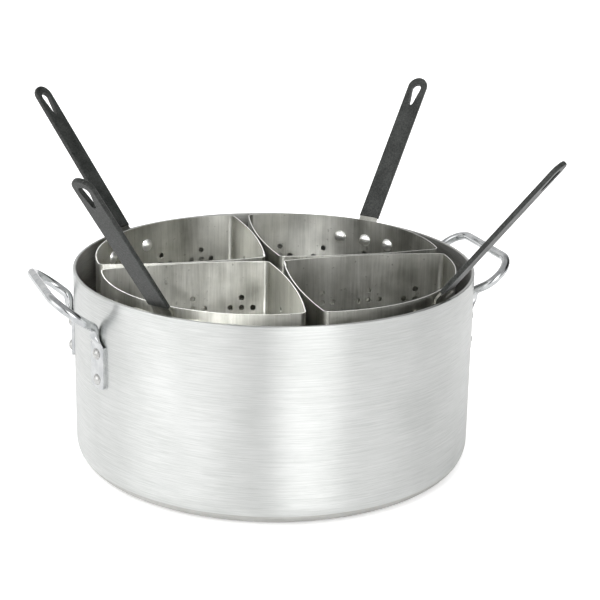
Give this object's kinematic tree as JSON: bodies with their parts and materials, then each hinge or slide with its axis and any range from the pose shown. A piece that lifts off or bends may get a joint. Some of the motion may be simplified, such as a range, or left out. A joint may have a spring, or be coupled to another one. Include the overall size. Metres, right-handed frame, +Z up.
{
  "type": "stock pot with lift-out basket inserts",
  "caption": "Round straight-sided cooking pot with side loop handles, filled by perforated quadrant baskets that lift out by long coated strip handles.",
  "frame": {"origin": "centre of the pot's flat underside, on the surface it stands on", "axes": "+Z up along the pot's axis; +X towards the right side handle; +Y completes the right-handed set"},
  "size_m": [0.4564, 0.4564, 0.321],
  "materials": {
    "pot_aluminium": "satin spun",
    "loop_chrome": "polished",
    "rivet_metal": "bright",
    "basket_steel": "brushed stainless",
    "grip_coating": "matte dipped vinyl"
  },
  "bodies": {
    "pot": {"pot_shell": "pot_aluminium", "side_handle_right": "loop_chrome", "side_handle_left": "loop_chrome", "side_rivets_right": "rivet_metal", "side_rivets_left": "rivet_metal"},
    "basket_1": {"basket_1_wall": "basket_steel", "basket_1_pan": "basket_steel", "basket_1_handle_strip": "basket_steel", "basket_1_handle_grip": "grip_coating", "basket_1_rivets": "rivet_metal"},
    "basket_2": {"basket_2_wall": "basket_steel", "basket_2_pan": "basket_steel", "basket_2_handle_strip": "basket_steel", "basket_2_handle_grip": "grip_coating", "basket_2_rivets": "rivet_metal"},
    "basket_3": {"basket_3_wall": "basket_steel", "basket_3_pan": "basket_steel", "basket_3_handle_strip": "basket_steel", "basket_3_handle_grip": "grip_coating", "basket_3_rivets": "rivet_metal"},
    "basket_4": {"basket_4_wall": "basket_steel", "basket_4_pan": "basket_steel", "basket_4_handle_strip": "basket_steel", "basket_4_handle_grip": "grip_coating", "basket_4_rivets": "rivet_metal"}
  },
  "joints": [
    {"name": "basket_1_lift", "type": "slide", "parent": "pot", "child": "basket_1", "axis": [0, 0, 1], "range_m": [0, 0.2]},
    {"name": "basket_2_lift", "type": "slide", "parent": "pot", "child": "basket_2", "axis": [0, 0, 1], "range_m": [0, 0.2]},
    {"name": "basket_3_lift", "type": "slide", "parent": "pot", "child": "basket_3", "axis": [0, 0, 1], "range_m": [0, 0.2]},
    {"name": "basket_4_lift", "type": "slide", "parent": "pot", "child": "basket_4", "axis": [0, 0, 1], "range_m": [0, 0.2]}
  ]
}
